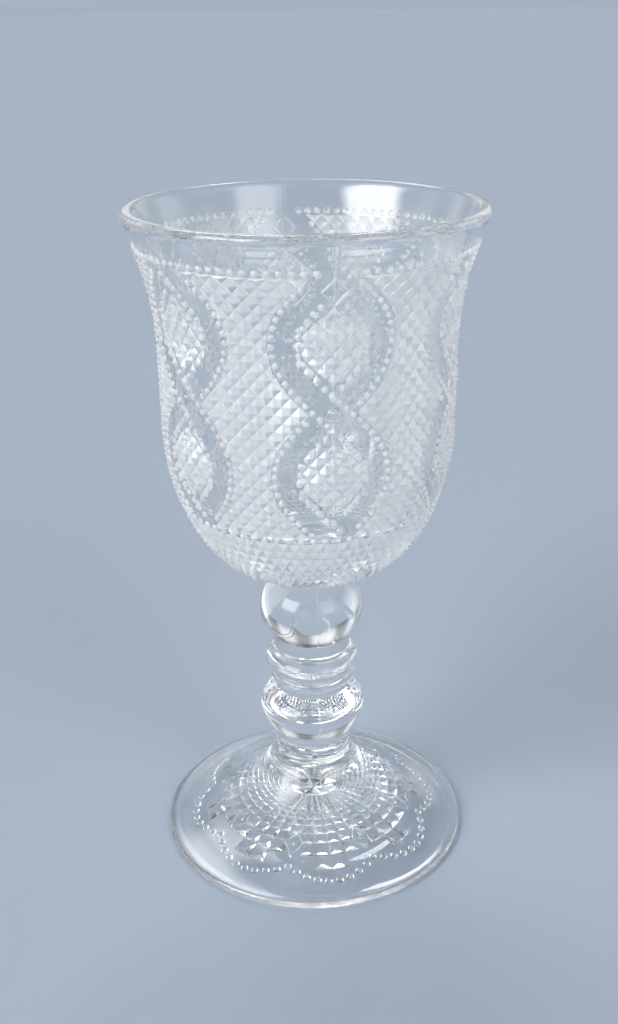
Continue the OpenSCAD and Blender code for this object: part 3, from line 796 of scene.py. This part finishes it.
cutVerts, cutFaces, cutPlaces = laid["cutter"]
cutShape = shapeMesh("columnCut", cutVerts, cutFaces)
groundMesh = onBowl("ground", [(diamondTile, laid["ground"]), (halfTile, laid["groundEnds"])], **sharpTiles)
groundMesh = fuse(groundMesh, [onBowl("columns", [(cutShape, cutPlaces)], **plainCut)], "DIFFERENCE")
print("ground cut:", len(groundMesh.polygons), "faces")
bowlMesh = fuse(bowlMesh, [
    groundMesh,
    onBowl("base", [(brickTile, laid["basePoints"])], **sharpTiles),
    onBowl("rimBeads", [(bead, laid["rim"])]),
    onBowl("ribbonBeads", [(bead, laid["ribbonBeads"])]),
    onBowl("buttons", [(button, laid["buttons"])], hazy=False),
    onBowl("barsLeft", [(bar, laid["bars"][0])], **roundedBars),
    onBowl("barsRight", [(bar, laid["bars"][1])], **roundedBars),
    onBowl("stars", [(smallDiamond, laid["stars"])], **facets),
    onBowl("baseRow", [(bead, laid["baseRow"])]),
    seams("bowlSeams", [p for p in skin if p[1] > reliefSizes["seamEnd"]], bowlGlass, reliefSizes["seamHeight"]),
])
finishPiece("goblet_bowl", bowlMesh, [
    "bowl", "rim_beads", "ground_points", "ribbon_beads_left", "ribbon_beads_right", "crossing_buttons",
    "lattice_bars", "lattice_points", "base_bead_row", "base_points"])

# --- stem ---


def knopSide(peak, half, at, low, high, steps=24):  # a squashed ball from low to high, about its middle
    return [(peak * math.sqrt(1 - (dz / half) ** 2), at + dz)
            for dz in [low + (high - low) * i / steps for i in range(steps + 1)]]


def arcSide(inner, outer, at, half, steps=16):
    return [(inner + (outer - inner) * math.cos(a), at + half * math.sin(a))
            for a in [-math.pi / 2 + math.pi * i / steps for i in range(steps + 1)]]


v = stemSizes
neck = v["neck"]
lowNeck = neck + v["step"]
knopLow = v["upperKnopHalf"] * math.sqrt(1 - (lowNeck / v["upperKnop"]) ** 2)
knopHigh = v["upperKnopHalf"] * math.sqrt(1 - (neck / v["upperKnop"]) ** 2)
upperLine = ([(0, v["ringTop"]), (neck, v["ringTop"]), (lowNeck, v["ringTop"])]
             + knopSide(v["upperKnop"], v["upperKnopHalf"], v["upperKnopAt"], -knopLow, knopHigh)
             + [(neck, bowlSizes["bottom"]), (0, bowlSizes["bottom"])])
upperMesh = spin("upperKnop", upperLine, stemGlass, [(v["ringTop"], neck), (bowlSizes["bottom"], neck)])
collarHalf = v["collarHeight"] / 2
ringLine = ([(0, v["ringBottom"])] + arcSide(neck, v["collar"], v["ringBottom"] + collarHalf, collarHalf)
            + arcSide(neck, v["ring"], v["ringAt"], v["ringHalf"])
            + [(neck, v["ringTop"]), (0, v["ringTop"])])
ringMesh = spin("ring", ringLine, stemGlass, [(v["ringTop"], neck), (v["ringBottom"], neck)])
cut = v["lowerKnopRise"] * math.sqrt(1 - (neck / v["lowerKnop"]) ** 2)
taper = [(v["lip"] + (v["lowerKnop"] - v["lip"]) * (1 + math.cos(math.pi * i / v["taperSteps"])) / 2,
          v["lowerKnopAt"] + (v["lowerKnopAt"] - v["footJoint"]) * i / v["taperSteps"])
         for i in range(-v["taperSteps"], 0)]
lowerLine = ([(0, v["footJoint"]), (neck, v["footJoint"])] + taper
             + knopSide(v["lowerKnop"], v["lowerKnopRise"], v["lowerKnopAt"], 0, cut)
             + [(neck, v["ringBottom"]), (0, v["ringBottom"])])
lowerMesh = spin("lowerKnop", lowerLine, stemGlass, [(v["footJoint"], neck), (v["ringBottom"], neck)])
upperMesh = fuse(upperMesh, [seams("upperSeams", upperLine[-2:1:-1], stemGlass, v["seamHeight"])])
ringMesh = fuse(ringMesh, [seams("ringSeams", ringLine[-2:0:-1], stemGlass, v["seamHeight"])])
lowerMesh = fuse(lowerMesh, [seams("lowerSeams", lowerLine[-2:1:-1], stemGlass, v["seamHeight"])])
finishPiece("goblet_upper_knop", upperMesh, ["upper_knop"])
finishPiece("goblet_ring", ringMesh, ["ring"])
finishPiece("goblet_lower_knop", lowerMesh, ["lower_knop"])

# --- foot ---

footSizes = {  # mm
    "radius": 41.45, "edge": 2.2, "neckAt": 24.6, "neck": 10.35, "dish": 8.0, "rest": 2.2, "curve": 0.7,
    "flat": 20.0,           # radius at which the relief is laid out
    "petals": 10, "petalStart": 0.3, "petalHeight": 0.5,    # the star that fills the middle
    "points": 40, "rings": 5, "innerRings": 7, "firstRing": 13.6, "pointHeight": 0.9,
    "scallops": 8, "border": 31.6, "scallop": 1.9, "bead": 1.0, "beadHeight": 0.75, "beadPitch": 2.65,
    "lozengeWidth": 4.8, "lozengeLength": 8.0, "barWidth": 0.6, "barHeight": 0.55, "star": 0.36,
    "seamEnd": 11.0,        # height at which the mould's seams fade out
    "spreadSteps": 36, "edgeSteps": 16, "dishSteps": 30,    # of the outline
}
v = footSizes
edgeR = v["radius"] - v["edge"] / 2
dishR = edgeR - v["rest"]


def dishZ(r):
    return v["dish"] * (1 - (r / dishR) ** 2)


spread = [(v["neck"] + (edgeR - v["neck"]) * math.cos(a) ** (2 / v["curve"]),
           v["edge"] + (v["neckAt"] - v["edge"]) * math.sin(a) ** (2 / v["curve"]))
          for a in [math.pi / 2 * i / v["spreadSteps"] for i in range(v["spreadSteps"] + 1)]]
rimArc = [(edgeR + v["edge"] / 2 * math.cos(a), v["edge"] / 2 * (1 + math.sin(a)))
          for a in [-math.pi / 2 + math.pi * i / v["edgeSteps"] for i in range(v["edgeSteps"])]]
dish = [(r, dishZ(r)) for r in [dishR * i / v["dishSteps"] for i in range(v["dishSteps"] + 1)]]
footLine = dish + rimArc + spread + [(neck, v["neckAt"]), (neck, stemSizes["footJoint"]), (0, stemSizes["footJoint"])]
footMesh = spin("foot", footLine, footGlass, [(stemSizes["footJoint"], neck)])
dishLine = outline("dish", dish[::-1])
dishRun = np.array(dish[::-1])
dishS = np.concatenate([[0], np.cumsum(np.linalg.norm(np.diff(dishRun, axis=0), axis=1))])


def dishLength(r):
    return float(np.interp(-r, -dishRun[:, 0], dishS))


def footRelief(v):
    flat = v["flat"]
    step = 1 + tau / v["points"]
    per = v["points"] // v["scallops"]
    rowEdge = 2 * step / (step + 1)     # where a ring of points meets the next, as a share of its radius
    points = []
    for k in range(-v["innerRings"], v["rings"] + 1):
        r = v["firstRing"] * step ** k
        height = v["pointHeight"] * min(1, step ** k)
        inner, outer = dishLength(r * rowEdge / step), dishLength(r * rowEdge)
        for i in range(v["points"]):
            besideLozenge = k >= v["rings"] - 2 and i % per == 0
            peak = k < v["rings"] or abs(i % per - per / 2) < 1
            if peak and not besideLozenge:
                points.append(((i + 0.5 * per) * tau * flat / v["points"], (inner + outer) / 2,
                               math.pi * flat / v["points"], (inner - outer) / 2, height, 0.0))
    starR = v["firstRing"] * step ** -v["innerRings"] * rowEdge / step
    starEdge, starMiddle = dishLength(starR), dishLength(v["petalStart"])
    petals = [((i + 0.5) * tau * flat / v["petals"], (starEdge + starMiddle) / 2,
               math.pi * flat / v["petals"], (starMiddle - starEdge) / 2, v["petalHeight"], 0.0)
              for i in range(v["petals"])]
    count = math.floor(tau * v["border"] / (v["beadPitch"] * v["scallops"])) * v["scallops"]
    border = []
    for i in range(count):
        a = (i + 0.5) * tau / count
        r = v["border"] + v["scallop"] * (2 * abs(math.cos(v["scallops"] * a / 2)) - 1)
        border.append((a * flat, dishLength(r), v["bead"] * flat / r, v["bead"], v["beadHeight"], 0.0))
    lozengeR = v["firstRing"] * step ** (v["rings"] - 1.5)
    w, h = v["lozengeWidth"] / 2 * flat / lozengeR, v["lozengeLength"] / 2
    bars, stars = [[], []], []
    for i in range(v["scallops"]):
        x, s = (i + 0.5) * tau * flat / v["scallops"], dishLength(lozengeR)
        stars.append((x, s, w * v["star"], h * v["star"], v["barHeight"], 0.0))
        for sx in (-1, 1):
            for sy in (-1, 1):
                bars[(sx * sy + 1) // 2].append((x + sx * w / 2, s + sy * h / 2, v["barWidth"] / 2,
                                                 math.hypot(w, h) / 2 + v["barWidth"] / 4, v["barHeight"],
                                                 sx * sy * math.atan2(w, h)))
    return points, petals, border, bars, stars


footPoints, footPetals, footBorder, footBars, footStars = footRelief(footSizes)


def onFoot(name, groups, crease=180, tips=0.0, tiled=False):
    return pressed(name, groups, dishLine, footSizes["flat"], footGlass, crease, tips, tiled)


footMesh = fuse(footMesh, [
    onFoot("footPoints", [(squareTile, footPoints)], **sharpTiles),
    onFoot("footPetals", [(squareTile, footPetals)], **sharpTiles),
    onFoot("footBarsLeft", [(bar, footBars[0])], **roundedBars),
    onFoot("footBarsRight", [(bar, footBars[1])], **roundedBars),
    onFoot("footStars", [(smallDiamond, footStars)], **facets),
    onFoot("footBorder", [(bead, footBorder)]),
    seams("footSeams", [(neck, stemSizes["footJoint"]), (neck, v["neckAt"])]
          + [p for p in reversed(spread) if p[1] > v["seamEnd"]], footGlass, stemSizes["seamHeight"]),
])
finishPiece("goblet_foot", footMesh, ["foot", "foot_points", "foot_lozenges", "foot_bead_border"])

for helper in (skinLine, dishLine, smallDiamond, diamondTile, halfTile, brickTile, squareTile,
               bead, button, bar, seamBar, cutShape):
    bpy.data.objects.remove(helper)

# --- floor, light and camera ---

studio = {
    "floor": (0.38, 0.44, 0.53),        # plain and pale
    "tint": (0.96, 0.985, 1.0),         # of the soft light
    # brightness of the room by degrees above the table: a pale wall all round, which the camera sees
    # without the flags and the windows
    "room": ((6.0, 0.80), (11.0, 1.00), (24.0, 1.00), (31.0, 0.16), (60.0, 0.14)),
    # dark flags that stand round the table: azimuth from straight behind, and half width, in degrees
    "flags": ((-62, 9), (-30, 8), (8, 8), (42, 9), (85, 10), (180, 10)),
    "flagTop": 36.0, "flagEdge": 0.08, "flagTone": 0.38,
    # windows: azimuth from straight behind, height, half width and half height in degrees, soft edge, brightness
    "windows": ((-22.0, 50.0, 14.0, 9.0, 0.10, 5.2), (16.0, 51.0, 2.4, 8.0, 0.02, 12.0),
                (-125.0, 30.0, 18.0, 16.0, 0.10, 7.2), (140.0, 30.0, 14.0, 20.0, 0.10, 2.5)),
    "lens": 41.66, "tilt": 66.75, "roll": -0.8, "camera": (-0.25, -281.0, 214.3),
}


def plainFloor(v):
    mesh = bpy.data.meshes.new("floor")
    far = 40.0
    under = -0.02 * mm      # just clear of the foot
    mesh.from_pydata([(x, y, under) for x, y in ((-far, -far), (far, -far), (far, far), (-far, far))], [],
                     [(0, 1, 2, 3)])
    material = bpy.data.materials.new("Pale floor")
    material.use_nodes = True
    shader = material.node_tree.nodes["Principled BSDF"]
    shader.inputs["Base Color"].default_value = v["floor"] + (1,)
    shader.inputs["Roughness"].default_value = 1.0
    shader.inputs["Specular IOR Level"].default_value = 0.0
    mesh.materials.append(material)
    floor = addObject("floor", mesh)


def inFrame(graph, direction, azimuth, height, halfWidth, halfHeight, soft):
    # How far a direction falls inside an upright frame at that place round the room, from 0 to 1
    a, e = math.radians(90 - azimuth), math.radians(height)
    ahead = (math.cos(a) * math.cos(e), math.sin(a) * math.cos(e), math.sin(e))
    side = (math.sin(a), -math.cos(a), 0.0)
    above = (-math.cos(a) * math.sin(e), -math.sin(a) * math.sin(e), math.cos(e))
    depth, x, y = [Wire(graph, graph.vectors("DOT_PRODUCT", direction, axis).socket.node.outputs["Value"])
                   for axis in (ahead, side, above)]
    inside = graph.maths("GREATER_THAN", depth, 0.05)
    for place, half in ((x, halfWidth), (y, halfHeight)):
        reach = math.tan(math.radians(half))
        inside = inside * graph.node("ShaderNodeMapRange", {"interpolation_type": "SMOOTHSTEP"}, {
            "Value": graph.maths("ABSOLUTE", place / depth),
            "From Min": reach - soft, "From Max": reach + soft, "To Min": 1.0, "To Max": 0.0})
    return inside


def softRoom(v):
    world = bpy.data.worlds.new("studio")
    world.use_nodes = True
    graph = Graph(world.node_tree)
    direction = Wire(graph, graph.node("ShaderNodeTexCoord", out=None).outputs["Generated"])
    up = graph.split(direction)[2]

    def toned(light):
        return tuple(c * light for c in v["tint"]) + (1,)

    def byHeight(steps):
        stops = [(0.0, v["floor"] + (1,))] + [(math.sin(math.radians(e)), toned(light)) for e, light in steps]
        return graph.node("ShaderNodeValToRGB", {"stops": stops}, {"Fac": up})

    def blend(share, under, over):
        made = graph.node("ShaderNodeMix", {"data_type": "RGBA"}, {0: share}, out=None)
        for source, socket in zip((under, over), [s for s in made.inputs if s.type == "RGBA"]):
            graph.tree.links.new(source.socket, socket)
        return Wire(graph, [socket for socket in made.outputs if socket.type == "RGBA"][0])

    flags = 0.0
    for azimuth, half in v["flags"]:
        flags = flags + inFrame(graph, direction, azimuth, 0.0, half, v["flagTop"], v["flagEdge"])
    shade = graph.vectors("SCALE", byHeight(v["room"]))
    graph.tree.links.new((1 - (1 - v["flagTone"]) * graph.maths("MINIMUM", flags, 1.0)).socket,
                         shade.socket.node.inputs["Scale"])
    for *place, light in v["windows"]:
        shade = graph.vectors("ADD", shade, inFrame(graph, direction, *place) * light)
    direct = Wire(graph, graph.node("ShaderNodeLightPath", out=None).outputs["Is Camera Ray"])
    shown = blend(direct, shade, byHeight(v["room"]))
    graph.tree.links.new(shown.socket, world.node_tree.nodes["Background"].inputs["Color"])
    scene.world = world


plainFloor(studio)
softRoom(studio)

lens = bpy.data.cameras.new("camera")
lens.sensor_width = 36.0
lens.lens = studio["lens"]
camera = addObject("camera", lens)
camera.matrix_world = (Matrix.Translation(Vector(studio["camera"]) * mm)
                       @ Matrix.Rotation(math.radians(studio["tilt"]), 4, "X")
                       @ Matrix.Rotation(math.radians(studio["roll"]), 4, "Z"))
scene.camera = camera
print("studio set")
